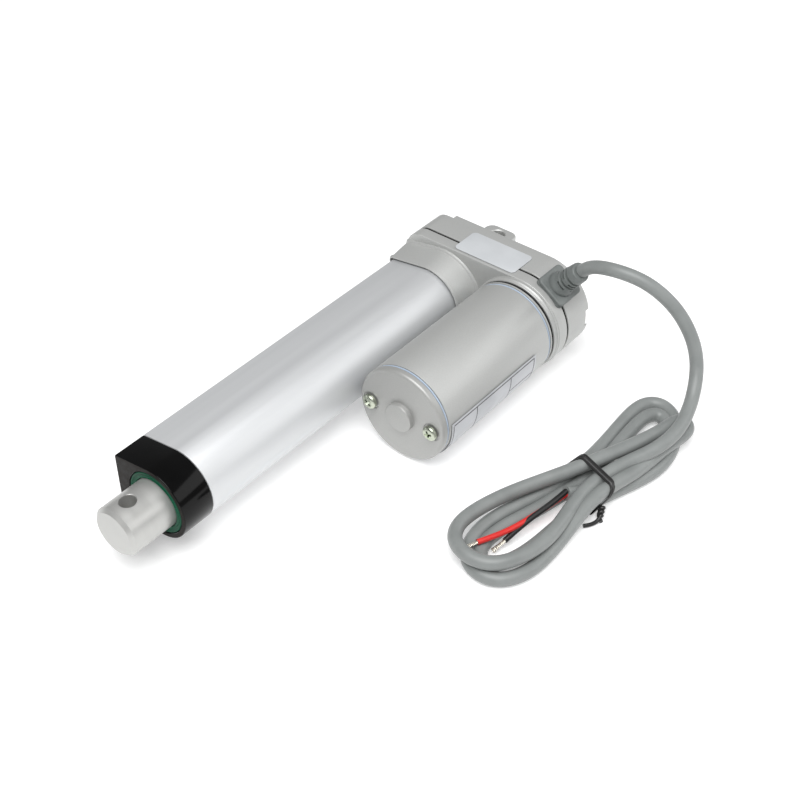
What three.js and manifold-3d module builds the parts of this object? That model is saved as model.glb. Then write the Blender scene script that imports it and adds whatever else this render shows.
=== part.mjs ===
// Linear actuator with a parallel motor: a screw drives the rod, through two gear stages beside the tube.
// Millimetres, +Z up, +X the way the rod extends. The design frame has the spindle axis at y = z = 0 and the
// front face of the nose cap at x = 0; the finished group is moved so that the origin is under its middle.
import * as THREE from "three";
import { NURBSCurve } from "three/addons/curves/NURBSCurve.js";
import { mergeVertices } from "three/addons/utils/BufferGeometryUtils.js";
import Module from "manifold-3d";

const wasm = await Module();
wasm.setup();

// ---- driving dimensions -------------------------------------------------------------------------
const GAP = 0.3; // clearance between pieces that touch
const FINE = 44; // facets of a large round
const ROUND = 28; // facets of a middling round
const SMALL = 14; // facets of a small round

const STROKE = 100;
const ROD_R = 10;
const ROD_TIP = 19.4;
const ROD_BORE_R = 7.2;
const ROD_HOLE_X = 11.4;
const CROSS_HOLE_R = 3.2;
const TIP_CHAMFER = 1.3;

const TUBE_R = 15; // half the tube's greatest height, and the radius of its round side
const TUBE_FLAT = 19; // from the spindle axis to the tube's flat side
const TUBE_CORNER = 12.2; // half the height of that flat side
const TUBE_WALL = 2;
const CAP_LENGTH = 13.6;
const PLUG_LENGTH = 9;
const TUBE_END = -159.6;

const NECK_FRONT = -154.8;
const NECK_PROUD = 0.6;
const NECK_FLARE = [0.01, 0.185, 0.172]; // how much the neck grows towards -Y, towards +Y and in height
const FLANGE_FRONT = -166.7;
const MOTOR_SEAT = -163.8; // the front of the collar that the motor stands on
const SEAM = -172.8;
const GASKET = 0.6;
const REAR_FACE = -185.8;
const PAD_FACE = -188.6;
const HOUSING_R = 20.9; // half the gearbox's height and the radius of its motor end
const HOUSING_FLAT = 20;
const HOUSING_CORNER = 7;
const COLLAR_R = 20.6;
const CAVITY = [-184.2, FLANGE_FRONT - 2];

const EYE_X = -205; // the rear eye's hole
const EYE_END = -210.4;
const EYE_CORNER = 4;
const EYE_SIDE = 7.8; // half the eye's width
const EYE_HALF = 7; // half its thickness

const MODULE = 0.8;
const PRESSURE_ANGLE = (25 * Math.PI) / 180;
const BACKLASH = 0.26;
const PINION_TEETH = 12;
const WHEEL_TEETH = 35;
const SPINDLE_TEETH = 36;
const IDLER_Y = (MODULE * (PINION_TEETH + SPINDLE_TEETH)) / 2;
const MOTOR_Y = IDLER_Y + (MODULE * (PINION_TEETH + WHEEL_TEETH)) / 2;
const SPINDLE_GEAR = [CAVITY[1] - 7.2, CAVITY[1] - 1.4];
const WHEEL = [SPINDLE_GEAR[0] - 7, SPINDLE_GEAR[0] - 1];

const MOTOR_R = 20.15;
const MOTOR_FACE = -90.9;
const END_CAP = 2.9;
const COVER = [-160.6, -95];
const CAN_R = 12.6;
const CAN = [MOTOR_SEAT + GAP, -103];
const TIE_OFFSET = 14.6;
const BOSS_R = 6.1;
const BOSS_HEIGHT = 2.2;

const SCREW_R = 6;
const JOURNAL_R = 4;
const COLLAR_X = -152.7;
const NUT_REAR = -147.5;

const GLAND_X = -177;
const GLAND_TILT = (34.5 * Math.PI) / 180; // the plate's normal, from +Z towards +Y
const GLAND_FACE = 22.7; // the plate's outer face, from the motor axis
const BOOT_LENGTH = 13.5;
const BOOT_LEAN = (6 * Math.PI) / 180; // how far the cable pulls the boot off that normal
const CABLE_R = 2.75;
const FLOOR = -HOUSING_R;
const WAIST_X = -121.5; // where the tie holds the coiled cable
const WAIST_Y = [95.2, 118.8];
const HANK_HEIGHT = 12.7;

const ORIGIN_SHIFT = [95.5, -21.2, 20.9]; // from the design frame to the origin under the middle

// ---- materials ----------------------------------------------------------------------------------
function material(color, roughness, metalness) {
  return new THREE.MeshStandardMaterial({ color, roughness, metalness });
}

const look = {
  anodised: material(0xc9cbcd, 0.36, 0.9),
  rod: material(0xd3d3d1, 0.3, 0.95),
  paint: material(0xa9a8a5, 0.45, 0.5),
  black: material(0x15120f, 0.25, 0),
  green: material(0x0f4a30, 0.5, 0),
  polymer: material(0xe6e2d6, 0.45, 0),
  gasket: material(0x222222, 0.8, 0),
  blue: material(0xa9c9e6, 0.5, 0),
  zinc: material(0xc6c7a4, 0.3, 0.9),
  steel: material(0x9fa1a3, 0.35, 1),
  brass: material(0xb5964e, 0.35, 1),
  copper: material(0x9c5a31, 0.4, 0.8),
  magnet: material(0x3a3a3d, 0.7, 0.2),
  board: material(0x1f5a38, 0.55, 0),
  pvc: material(0x85898a, 0.55, 0),
  label: material(0xd9dcdd, 0.4, 0.1),
};

// ---- geometry helpers ---------------------------------------------------------------------------
const AXES = new THREE.Matrix4().makeBasis(
  new THREE.Vector3(0, 1, 0),
  new THREE.Vector3(0, 0, 1),
  new THREE.Vector3(1, 0, 0),
);

// A body turned about the X axis through (y, z), from a profile of [x, radius] corners.
function turned(profile, segments, y = 0, z = 0) {
  const points = profile.map(([x, r]) => new THREE.Vector2(r, x));
  if (profile[0][1] > 0 || profile[profile.length - 1][1] > 0) points.push(points[0].clone());
  if (THREE.ShapeUtils.area(points) < 0) points.reverse();
  const body = new THREE.LatheGeometry(points, segments);
  body.rotateZ(-Math.PI / 2);
  body.translate(0, y, z);
  return body;
}

const rod = (x0, x1, r, segments, y = 0, z = 0) =>
  turned([[x0, 0], [x0, r], [x1, r], [x1, 0]], segments, y, z);
const ring = (x0, x1, r0, r1, segments, y = 0, z = 0) =>
  turned([[x0, r0], [x0, r1], [x1, r1], [x1, r0]], segments, y, z);

// An outline in the Y-Z plane run from x0 to x1.
function extruded(shape, x0, x1) {
  const body = new THREE.ExtrudeGeometry(shape, { depth: x1 - x0, bevelEnabled: false });
  body.applyMatrix4(AXES);
  body.translate(x0, 0, 0);
  return body;
}

// An outline in the X-Y plane run from z0 to z1.
function upright(shape, z0, z1) {
  const body = new THREE.ExtrudeGeometry(shape, { depth: z1 - z0, bevelEnabled: false });
  body.translate(0, 0, z0);
  return body;
}

function box(x0, x1, y0, y1, z0, z1) {
  const body = new THREE.BoxGeometry(x1 - x0, y1 - y0, z1 - z0);
  body.translate((x0 + x1) / 2, (y0 + y1) / 2, (z0 + z1) / 2);
  return body;
}

function pillar(x, y, z0, z1, r, segments) {
  const body = new THREE.CylinderGeometry(r, r, z1 - z0, segments);
  body.rotateX(Math.PI / 2);
  body.translate(x, y, (z0 + z1) / 2);
  return body;
}

function solid(body) {
  const bare = body.index ? body.toNonIndexed() : body.clone();
  bare.deleteAttribute("normal");
  bare.deleteAttribute("uv");
  const merged = mergeVertices(bare, 1e-3);
  const vertProperties = merged.attributes.position.array;
  const triVerts = new Uint32Array(merged.index.array);
  return new wasm.Manifold(new wasm.Mesh({ numProp: 3, vertProperties, triVerts }));
}

function geometry(made) {
  const mesh = made.getMesh();
  const body = new THREE.BufferGeometry();
  body.setAttribute("position", new THREE.BufferAttribute(mesh.vertProperties, 3));
  body.setIndex(new THREE.BufferAttribute(mesh.triVerts, 1));
  return body;
}

const join = (first, ...others) =>
  geometry(others.reduce((made, body) => made.add(solid(body)), solid(first)));
const cut = (first, ...others) =>
  geometry(others.reduce((made, body) => made.subtract(solid(body)), solid(first)));

// ---- outlines -----------------------------------------------------------------------------------
// The points of an arc about (cx, cy), from angle a0 to a1.
function arc(cx, cy, r, a0, a1, steps) {
  const points = [];
  for (let i = 0; i <= steps; i++) {
    const a = a0 + ((a1 - a0) * i) / steps;
    points.push(new THREE.Vector2(cx + r * Math.cos(a), cy + r * Math.sin(a)));
  }
  return points;
}

const QUARTER = Math.PI / 2;

// The tube's section, grown by an offset: round towards +Y, then straight to the corners of its flat side.
function tubePoints(offset) {
  const r = TUBE_R + offset;
  const flat = -TUBE_FLAT - offset;
  const corner = TUBE_CORNER + offset;
  const touch = Math.atan2(corner, flat) - Math.acos(r / Math.hypot(flat, corner));
  const corners = [new THREE.Vector2(flat, corner), new THREE.Vector2(flat, -corner)];
  return [...arc(0, 0, r, -touch, touch, FINE / 2), ...corners];
}

const tubeOutline = (offset) => new THREE.Shape(tubePoints(offset));

// The gearbox's section: two rounded corners beside the tube and one half circle round the motor.
function housingOutline(offset) {
  const r = HOUSING_R + offset;
  const c = HOUSING_CORNER;
  const middle = -HOUSING_FLAT - offset + c;
  return new THREE.Shape([
    ...arc(MOTOR_Y, 0, r, -QUARTER, QUARTER, FINE / 2),
    ...arc(middle, r - c, c, QUARTER, 2 * QUARTER, 4),
    ...arc(middle, c - r, c, 2 * QUARTER, 3 * QUARTER, 4),
  ]);
}

function roundedRectangle(x0, x1, y0, y1, r) {
  return new THREE.Shape([
    ...arc(x1 - r, y0 + r, r, -QUARTER, 0, 3),
    ...arc(x1 - r, y1 - r, r, 0, QUARTER, 3),
    ...arc(x0 + r, y1 - r, r, QUARTER, 2 * QUARTER, 3),
    ...arc(x0 + r, y0 + r, r, 2 * QUARTER, 3 * QUARTER, 3),
  ]);
}

// A sector of a ring about the motor's axis, between two angles measured from +Y towards +Z.
function sector(r0, r1, a0, a1, steps) {
  return new THREE.Shape([...arc(MOTOR_Y, 0, r1, a0, a1, steps), ...arc(MOTOR_Y, 0, r0, a1, a0, steps)]);
}

// ---- gears --------------------------------------------------------------------------------------
const involute = (angle) => Math.tan(angle) - angle;

// A spur gear's outline about (cy, 0), turned by phase, with its flanks thinned by half of the backlash.
function gearOutline(teeth, cy, phase) {
  const pitch = (MODULE * teeth) / 2;
  const base = pitch * Math.cos(PRESSURE_ANGLE);
  const tip = pitch + MODULE;
  const root = pitch - 1.25 * MODULE;
  const half = Math.PI / (2 * teeth) - BACKLASH / (4 * pitch);
  const flank = (r) => half + involute(PRESSURE_ANGLE) - involute(Math.acos(Math.min(1, base / r)));
  const start = Math.max(base, root);
  const radii = [root, start, pitch, tip].filter((r, i, all) => r !== all[i - 1]);
  const points = [];
  for (let tooth = 0; tooth < teeth; tooth++) {
    const middle = phase + (2 * Math.PI * tooth) / teeth;
    const rising = radii.map((r) => [r, middle - flank(Math.max(r, start))]);
    const falling = radii.map((r) => [r, middle + flank(Math.max(r, start))]).reverse();
    for (const [r, a] of [...rising, ...falling]) {
      points.push(new THREE.Vector2(cy + r * Math.cos(a), r * Math.sin(a)));
    }
  }
  return new THREE.Shape(points);
}

// ---- assembly -----------------------------------------------------------------------------------
const group = new THREE.Group();

function piece(name, body, finish) {
  body.translate(...ORIGIN_SHIFT);
  const mesh = new THREE.Mesh(body, finish);
  mesh.name = name;
  group.add(mesh);
}

// Rod body: the extension rod with its cross hole, the drive nut on its rear end and the nut's pins.
function addRod() {
  const rear = NUT_REAR + 12.3;
  const cup = NUT_REAR + 12;
  const front = NUT_REAR + 20;
  const pinX = NUT_REAR + 16;
  const cross = pillar(ROD_HOLE_X, 0, -12, 12, CROSS_HOLE_R, SMALL + 4);
  const pinHole = pillar(pinX, 0, -14, 14, 1.3, SMALL);
  const tip = [
    [rear, 0],
    [rear, ROD_R],
    [ROD_TIP - TIP_CHAMFER, ROD_R],
    [ROD_TIP, ROD_R - TIP_CHAMFER],
    [ROD_TIP, 0],
  ];
  const bore = rod(rear - 1, -8, ROD_BORE_R, ROUND);
  piece("extension_rod", cut(turned(tip, FINE), bore, cross, pinHole), look.rod);
  const nut = turned(
    [
      [NUT_REAR, SCREW_R + 0.35],
      [NUT_REAR, 12.6],
      [front, 12.6],
      [front, ROD_R + GAP],
      [cup, ROD_R + GAP],
      [cup, SCREW_R + 0.35],
    ],
    ROUND,
  );
  const flat = box(NUT_REAR - 1, front + 1, -14, -11, -14, 14);
  piece("drive_nut", cut(nut, flat, pinHole), look.polymer);
  piece("nut_pin_1", pillar(pinX, 0, 7.5, 12.4, 1, SMALL), look.steel);
  piece("nut_pin_2", pillar(pinX, 0, -12.4, -7.5, 1, SMALL), look.steel);
}

// Screw body: the spindle, the gear on its rear journal and the nut that holds the gear.
function addScrew() {
  const screwEnd = NUT_REAR + STROKE + 18;
  const spindle = [
    [SPINDLE_GEAR[0] + 0.2, 0],
    [SPINDLE_GEAR[0] + 0.2, JOURNAL_R],
    [COLLAR_X, JOURNAL_R],
    [COLLAR_X, 8.5],
    [COLLAR_X + 3, 8.5],
    [COLLAR_X + 3, SCREW_R],
    [screwEnd - 1.5, SCREW_R],
    [screwEnd, SCREW_R - 1.5],
    [screwEnd, 0],
  ];
  piece("lead_screw", turned(spindle, ROUND), look.steel);
  const teeth = extruded(gearOutline(SPINDLE_TEETH, 0, Math.PI / SPINDLE_TEETH), ...SPINDLE_GEAR);
  const recess = rod(SPINDLE_GEAR[0] - 1, SPINDLE_GEAR[0] + 3, 7, ROUND);
  const bore = rod(SPINDLE_GEAR[0] - 5, SPINDLE_GEAR[1] + 5, JOURNAL_R + GAP, ROUND);
  piece("spindle_gear", cut(teeth, recess, bore), look.polymer);
  piece("gear_nut", cut(rod(SPINDLE_GEAR[0] + 0.4, SPINDLE_GEAR[0] + 2.7, 6.6, 6), bore), look.steel);
}

// Idler body: one moulded gear, a wheel that the motor drives and a pinion that drives the spindle.
function addIdler() {
  const wheel = extruded(gearOutline(WHEEL_TEETH, IDLER_Y, Math.PI / WHEEL_TEETH), ...WHEEL);
  const pinion = extruded(gearOutline(PINION_TEETH, IDLER_Y, Math.PI), WHEEL[1] - 1, SPINDLE_GEAR[1]);
  const bore = rod(WHEEL[0] - 5, SPINDLE_GEAR[1] + 5, 2 + GAP, SMALL, IDLER_Y);
  piece("idler_gear", cut(join(wheel, pinion), bore), look.polymer);
}

// The armature's five poles, each given as [radius, degrees] corners from one slot to the next.
function armatureOutline(grow) {
  const pole = [
    [4 + grow, -36],
    [4.3 + grow, -22 - 4 * grow],
    [7.4 - grow, -12 - 8 * grow],
    [8.3 - grow, -29 - 2 * grow],
    [9.2, -31 - 2 * grow],
    [9.2, -15],
    [9.2, 0],
    [9.2, 15],
    [9.2, 31 + 2 * grow],
    [8.3 - grow, 29 + 2 * grow],
    [7.4 - grow, 12 + 8 * grow],
    [4.3 + grow, 22 + 4 * grow],
  ];
  const points = [];
  for (let turn = 0; turn < 360; turn += 72) {
    for (const [r, degrees] of pole) {
      const a = ((turn + degrees) * Math.PI) / 180;
      points.push(new THREE.Vector2(MOTOR_Y + r * Math.cos(a), r * Math.sin(a)));
    }
  }
  return new THREE.Shape(points);
}

// Rotor body: shaft, laminated core, winding, commutator and pinion.
function addRotor() {
  const core = [CAN[0] + 10, CAN[1] - 12];
  const axle = rod(-190, -90, 1.5 + GAP, SMALL, MOTOR_Y);
  piece("motor_shaft", rod(WHEEL[0] - 0.6, CAN[1] + 5, 1.5, SMALL, MOTOR_Y), look.steel);
  piece("armature_core", cut(extruded(armatureOutline(0), ...core), axle), look.magnet);
  const coils = ring(core[0] - 5, core[1] + 5, 3.9, 8, ROUND, MOTOR_Y);
  const room = extruded(armatureOutline(0.3), core[0] - GAP, core[1] + GAP);
  piece("armature_winding", cut(coils, room), look.copper);
  piece("commutator", ring(CAN[1] - 6, CAN[1] - 1, 1.5 + GAP, 3.6, SMALL, MOTOR_Y), look.copper);
  const teeth = extruded(gearOutline(PINION_TEETH, MOTOR_Y, Math.PI), WHEEL[0] - 0.2, WHEEL[1] + 0.2);
  piece("motor_pinion", cut(teeth, axle), look.brass);
}

// Tube, nose cap, wiper seal, guide bushing and the limit switches inside the flat side of the tube.
function addTube() {
  const tube = tubeOutline(0);
  tube.holes.push(new THREE.Path(tubePoints(-TUBE_WALL)));
  piece("outer_tube", extruded(tube, TUBE_END, -CAP_LENGTH - GAP), look.anodised);
  const plug = extruded(tubeOutline(-TUBE_WALL - GAP), -CAP_LENGTH - PLUG_LENGTH, -CAP_LENGTH + 1);
  const head = join(extruded(tubeOutline(0), -CAP_LENGTH, 0), plug);
  const sealSeat = rod(-7.3, 1, 13, FINE);
  const bushSeat = rod(-30, -8.3, 11.8, ROUND);
  piece("front_cap", cut(head, sealSeat, bushSeat, rod(-12, 1, ROD_R + 0.6, ROUND)), look.black);
  const wiper = [
    [-7, 10.9],
    [-7, 12.7],
    [-1.5, 12.7],
    [-1.5, 11.9],
    [-0.8, ROD_R + 0.35],
    [-2.4, ROD_R + 0.35],
  ];
  piece("wiper_seal", turned(wiper, ROUND), look.green);
  piece("guide_bushing", ring(-CAP_LENGTH - 8.7, -8.6, ROD_R + GAP, 11.5, ROUND), look.polymer);
  const wall = -TUBE_FLAT + TUBE_WALL;
  const nutFront = NUT_REAR + STROKE + 20;
  piece("switch_board", box(NUT_REAR - 2, nutFront + 3, wall + 0.3, wall + 1.3, -5, 5), look.board);
  const height = [wall + 1.6, -11.3];
  piece("limit_switch_front", box(nutFront - 5, nutFront + 1.5, ...height, -3, 3), look.black);
  piece("limit_switch_rear", box(NUT_REAR - 1.5, NUT_REAR + 5, ...height, -3, 3), look.black);
}

// The three screws that hold the gearbox together, as [y, z].
const housingScrews = [
  [-HOUSING_FLAT + 4.6, HOUSING_R - 4.6],
  [-HOUSING_FLAT + 4.6, -HOUSING_R + 4.6],
  [MOTOR_Y + 16.5, 0],
];

// The gearbox's inner room, from x0 to x1.
const cavity = (x0, x1) => [
  rod(x0, x1, 16.2, ROUND),
  rod(x0, x1, 15.9, ROUND, IDLER_Y),
  rod(x0, x1, 12, ROUND, MOTOR_Y),
  box(x0, x1, IDLER_Y, MOTOR_Y, -11.5, 11.5),
];

// The neck round the tube, which widens towards the flange.
function neck() {
  const body = extruded(tubeOutline(NECK_PROUD), FLANGE_FRONT - 1, NECK_FRONT);
  const [away, towards, height] = NECK_FLARE;
  const place = body.attributes.position;
  for (let i = 0; i < place.count; i++) {
    const t = (NECK_FRONT - place.getX(i)) / (NECK_FRONT - FLANGE_FRONT);
    place.setY(i, place.getY(i) * (1 + (place.getY(i) < 0 ? away : towards) * t));
    place.setZ(i, place.getZ(i) * (1 + height * t));
  }
  return body;
}

// A body made along X from the motor's axis, stood along the gland's normal: its x becomes the height.
function alongGland(body) {
  const normal = new THREE.Vector3(0, Math.sin(GLAND_TILT), Math.cos(GLAND_TILT));
  const down = new THREE.Vector3(0, Math.cos(GLAND_TILT), -Math.sin(GLAND_TILT));
  const turn = new THREE.Matrix4().makeBasis(normal, new THREE.Vector3(1, 0, 0), down);
  body.applyMatrix4(turn);
  body.translate(GLAND_X, MOTOR_Y, 0);
  return body;
}

// The same, turned about the middle of the plate's outer face by the boot's lean.
function leaning(body) {
  body.translate(-GLAND_FACE, 0, 0);
  body.rotateY(-BOOT_LEAN);
  body.translate(GLAND_FACE, 0, 0);
  return body;
}

// Holes for the two screws that run along the motor, from x0 to x1.
const tieHoles = (x0, x1) =>
  [-TIE_OFFSET, TIE_OFFSET].map((y) => rod(x0, x1, 1.8, SMALL, MOTOR_Y + y));

// The front housing: flange and neck, with the tube's socket, the bearing's seat and the motor's seat.
function frontHousing(screwHoles, pinHole) {
  const flange = extruded(housingOutline(0), SEAM + GASKET / 2 + GAP, FLANGE_FRONT);
  const collar = rod(FLANGE_FRONT - 1, MOTOR_SEAT, COLLAR_R, FINE, MOTOR_Y);
  const body = join(flange, collar, neck());
  const coverRoom = rod(MOTOR_SEAT, NECK_FRONT + 5, MOTOR_R + 0.5, FINE, MOTOR_Y);
  const socket = extruded(tubeOutline(GAP), TUBE_END - GAP, NECK_FRONT + 1);
  const bearingSeat = rod(CAVITY[1] - 1, TUBE_END + 1, 11.3, ROUND);
  const motorSeat = rod(CAVITY[1] - 1, MOTOR_SEAT + 1, JOURNAL_R + GAP, SMALL, MOTOR_Y);
  const ties = tieHoles(MOTOR_SEAT - 4.1, NECK_FRONT);
  const mounts = [-8, 8].map((z) => rod(CAVITY[1] - 1, MOTOR_SEAT + 1, 1.5, SMALL, MOTOR_Y, z));
  const holes = [...ties, ...mounts, ...screwHoles, pinHole];
  return cut(body, coverRoom, socket, bearingSeat, motorSeat, ...holes, ...cavity(SEAM, CAVITY[1]));
}

// The rear housing: a box with a raised pad, which leaves pockets round the screw heads, and the rear eye.
function rearHousing(screwHoles, pinHole, cableHole) {
  const half = extruded(housingOutline(0), REAR_FACE, SEAM - GASKET / 2 - GAP);
  const pockets = housingScrews.map(([y, z], i) =>
    rod(PAD_FACE - 1, REAR_FACE, i < 2 ? 7 : 5.6, ROUND, y, z),
  );
  const pad = cut(extruded(housingOutline(0), PAD_FACE, REAR_FACE + 1), ...pockets);
  const side = EYE_SIDE - EYE_CORNER;
  const eye = new THREE.Shape([
    new THREE.Vector2(PAD_FACE + 1, -EYE_SIDE),
    new THREE.Vector2(PAD_FACE + 1, EYE_SIDE),
    ...arc(EYE_END + EYE_CORNER, side, EYE_CORNER, QUARTER, 2 * QUARTER, 6),
    ...arc(EYE_END + EYE_CORNER, -side, EYE_CORNER, 2 * QUARTER, 3 * QUARTER, 6),
  ]);
  const eyeHole = pillar(EYE_X, 0, -EYE_HALF - 2, EYE_HALF + 2, CROSS_HOLE_R, SMALL + 4);
  const body = join(half, pad, upright(eye, -EYE_HALF, EYE_HALF));
  return cut(body, ...cavity(CAVITY[0], SEAM), eyeHole, pinHole, cableHole, ...screwHoles);
}

// Gearbox: two housing halves, their gasket and screws, the spindle's bearings and the idler's pin.
function addGearbox() {
  const screwEnd = FLANGE_FRONT - 2.3;
  const screwHoles = housingScrews.map(([y, z]) => rod(PAD_FACE - 5, screwEnd + 0.5, 1.8, SMALL, y, z));
  const pinHole = rod(CAVITY[0] - 2.4, CAVITY[1] + 1.8, 2 + GAP, SMALL, IDLER_Y);
  const cableHole = alongGland(rod(8, 26, 3.9, SMALL));
  piece("gearbox_front_housing", frontHousing(screwHoles, pinHole), look.paint);
  const gasket = extruded(housingOutline(-0.3), SEAM - GASKET / 2, SEAM + GASKET / 2);
  piece("gearbox_gasket", cut(gasket, ...cavity(SEAM - 1, SEAM + 1), ...screwHoles), look.gasket);
  piece("gearbox_rear_housing", rearHousing(screwHoles, pinHole, cableHole), look.paint);

  housingScrews.forEach(([y, z], i) => {
    const seat = REAR_FACE - GAP;
    const profile = [
      [seat - 2, 0],
      [seat - 2, 2.1],
      [seat - 1.4, 2.75],
      [seat, 2.75],
      [seat, 1.5],
      [screwEnd, 1.5],
      [screwEnd, 0],
    ];
    piece(`housing_screw_${i + 1}`, turned(profile, SMALL, y, z), look.zinc);
  });
  piece("spindle_bearing", ring(CAVITY[1] + 0.3, TUBE_END - 0.6, JOURNAL_R + GAP, 11, ROUND), look.steel);
  piece("thrust_bearing", ring(TUBE_END + 0.1, COLLAR_X - GAP, JOURNAL_R + GAP, 12.6, ROUND), look.steel);
  piece("idler_pin", rod(CAVITY[0] - 2.1, CAVITY[1] + 1.5, 2, SMALL, IDLER_Y), look.steel);
}

// Motor: cover, end cap, their seals and tie screws, then the can, magnets, end bell, brushes and bush.
function addMotor() {
  piece("motor_cover", ring(...COVER, MOTOR_R - 1.5, MOTOR_R, FINE, MOTOR_Y), look.paint);
  const inner = MOTOR_FACE - END_CAP;
  const disc = [
    [inner, 0],
    [inner, MOTOR_R],
    [MOTOR_FACE - 1.4, MOTOR_R],
    [MOTOR_FACE - 0.5, MOTOR_R - 0.5],
    [MOTOR_FACE, MOTOR_R - 1.4],
    [MOTOR_FACE, 0],
  ];
  const lid = join(
    turned(disc, FINE, MOTOR_Y),
    rod(MOTOR_FACE - 1, MOTOR_FACE + BOSS_HEIGHT, BOSS_R, ROUND, MOTOR_Y),
    ring(inner - 3, inner + 1, MOTOR_R - 3.4, MOTOR_R - 1.8, FINE, MOTOR_Y),
  );
  piece("motor_end_cap", cut(lid, ...tieHoles(inner - 5, MOTOR_FACE + 5)), look.paint);
  const sealR = [MOTOR_R - 1.4, MOTOR_R - 0.2];
  const ringR = [MOTOR_R - 2.2, MOTOR_R];
  const seat = MOTOR_SEAT;
  const seatR = [MOTOR_R - 2, MOTOR_R - 0.4];
  piece("end_cap_gasket", ring(COVER[1] + GAP, inner - GAP, ...sealR, ROUND, MOTOR_Y), look.blue);
  piece("cover_rear_gasket", ring(COVER[0] - 0.9, COVER[0] - 0.3, ...sealR, ROUND, MOTOR_Y), look.blue);
  piece("motor_mount_ring", ring(seat + 1.2, seat + 2, ...ringR, ROUND, MOTOR_Y), look.paint);
  piece("motor_seat_gasket", ring(seat + 0.3, seat + 0.9, ...seatR, ROUND, MOTOR_Y), look.gasket);
  [-TIE_OFFSET, TIE_OFFSET].forEach((offset, i) => {
    const profile = [
      [MOTOR_SEAT - 3.6, 0],
      [MOTOR_SEAT - 3.6, 1.5],
      [MOTOR_FACE + GAP, 1.5],
      [MOTOR_FACE + GAP, 3.1],
      [MOTOR_FACE + 1.5, 3.1],
      [MOTOR_FACE + 2.3, 2],
      [MOTOR_FACE + 2.3, 0],
    ];
    piece(`tie_screw_${i + 1}`, turned(profile, SMALL, MOTOR_Y + offset), look.zinc);
  });

  const can = turned(
    [
      [CAN[0], 3.9],
      [CAN[0], CAN_R],
      [CAN[1], CAN_R],
      [CAN[1], CAN_R - 1.1],
      [CAN[0] + 1.2, CAN_R - 1.1],
      [CAN[0] + 1.2, 3.9],
    ],
    ROUND,
    MOTOR_Y,
  );
  const canHoles = [-8, 8].map((z) => rod(CAN[0] - 1, CAN[0] + 2, 1.5, SMALL, MOTOR_Y, z));
  piece("motor_can", cut(can, ...canHoles), look.steel);
  [-8, 8].forEach((z, i) => {
    const seat = CAVITY[1] - GAP;
    const profile = [
      [seat - 1.5, 0],
      [seat - 1.5, 2.2],
      [seat, 2.2],
      [seat, 1.2],
      [CAN[0] + 1.5, 1.2],
      [CAN[0] + 1.5, 0],
    ];
    piece(`motor_screw_${i + 1}`, turned(profile, SMALL, MOTOR_Y, z), look.zinc);
  });
  [QUARTER, -QUARTER].forEach((middle, i) => {
    const shape = sector(9.9, 11.2, middle - 1.1, middle + 1.1, 8);
    piece(`motor_magnet_${i + 1}`, extruded(shape, CAN[0] + 8, CAN[1] - 9), look.magnet);
    const z = i === 0 ? [3.9, 9.5] : [-9.5, -3.9];
    const brush = box(CAN[1] - 5, CAN[1] - 2, MOTOR_Y - 1.5, MOTOR_Y + 1.5, ...z);
    piece(`motor_brush_${i + 1}`, brush, look.magnet);
  });
  const axle = 1.5 + GAP;
  piece("motor_end_bell", ring(CAN[1] + 0.3, CAN[1] + 3.8, axle, CAN_R - 0.3, ROUND, MOTOR_Y), look.black);
  piece("motor_front_bush", ring(CAN[0] - 3, CAN[0] + 5, axle, 3.6, SMALL, MOTOR_Y), look.brass);
}

// Blank labels: the seal across the gearbox's seam and the rating plate on the motor's lower side.
function addLabels() {
  const seal = roundedRectangle(SEAM - 9.7, SEAM + 4.9, 3.6, 33.6, 2);
  piece("seal_label", upright(seal, HOUSING_R + 0.3, HOUSING_R + 0.5), look.label);
  const rating = sector(MOTOR_R + 0.3, MOTOR_R + 0.5, -1.05, 0.14, 10);
  piece("rating_label", extruded(rating, COVER[0] + 10, COVER[1] - 1), look.label);
}

// Cable gland: a square plate with round corners that fits the housing, and a ribbed boot along its normal.
function addGland() {
  const plate = extruded(roundedRectangle(-7.5, 7.5, -7.25, 7.25, 2.2), 19, GLAND_FACE);
  const end = GLAND_FACE + BOOT_LENGTH;
  const profile = [
    [17, 0],
    [17, 3.1],
    [GLAND_FACE - 1, 3.1],
    [GLAND_FACE - 1, 5.6],
    [GLAND_FACE + 1.6, 5.4],
    [GLAND_FACE + 2.8, 4.7],
    [GLAND_FACE + 5, 4.7],
    [GLAND_FACE + 5.2, 3.9],
    [GLAND_FACE + 6, 3.9],
    [GLAND_FACE + 6.2, 4.5],
    [GLAND_FACE + 8.4, 4.4],
    [GLAND_FACE + 8.6, 3.7],
    [GLAND_FACE + 9.4, 3.7],
    [GLAND_FACE + 9.6, 4.3],
    [end - 0.5, 4.1],
    [end, 3.6],
    [end, 0],
  ];
  const seat = rod(REAR_FACE - 5, FLANGE_FRONT + 5, HOUSING_R + GAP, 2 * FINE, MOTOR_Y);
  const fitted = cut(alongGland(plate), seat);
  piece("cable_gland", join(fitted, alongGland(leaning(turned(profile, SMALL + 2)))), look.pvc);
}

// The cable's way down from the boot to the hank, as [x, y, z] in the finished frame.
const leadRoute = [
  [-81.5, 38.7, 50.2],
  [-81.5, 40.6, 52.4],
  [-80.5, 44.5, 55.5],
  [-80, 50.5, 57.7],
  [-80.5, 57.3, 58.5],
  [-82.5, 64.3, 57],
  [-84.5, 70.3, 54],
  [-86.5, 75.8, 49.5],
  [-88, 80.3, 44.5],
  [-89, 84.3, 38.5],
  [-89, 87.8, 32.5],
  [-87.5, 90.8, 26],
  [-83.5, 93.3, 20.5],
  [-79, 95, 17],
  [-75.5, 96.2, 15.6],
];

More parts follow.
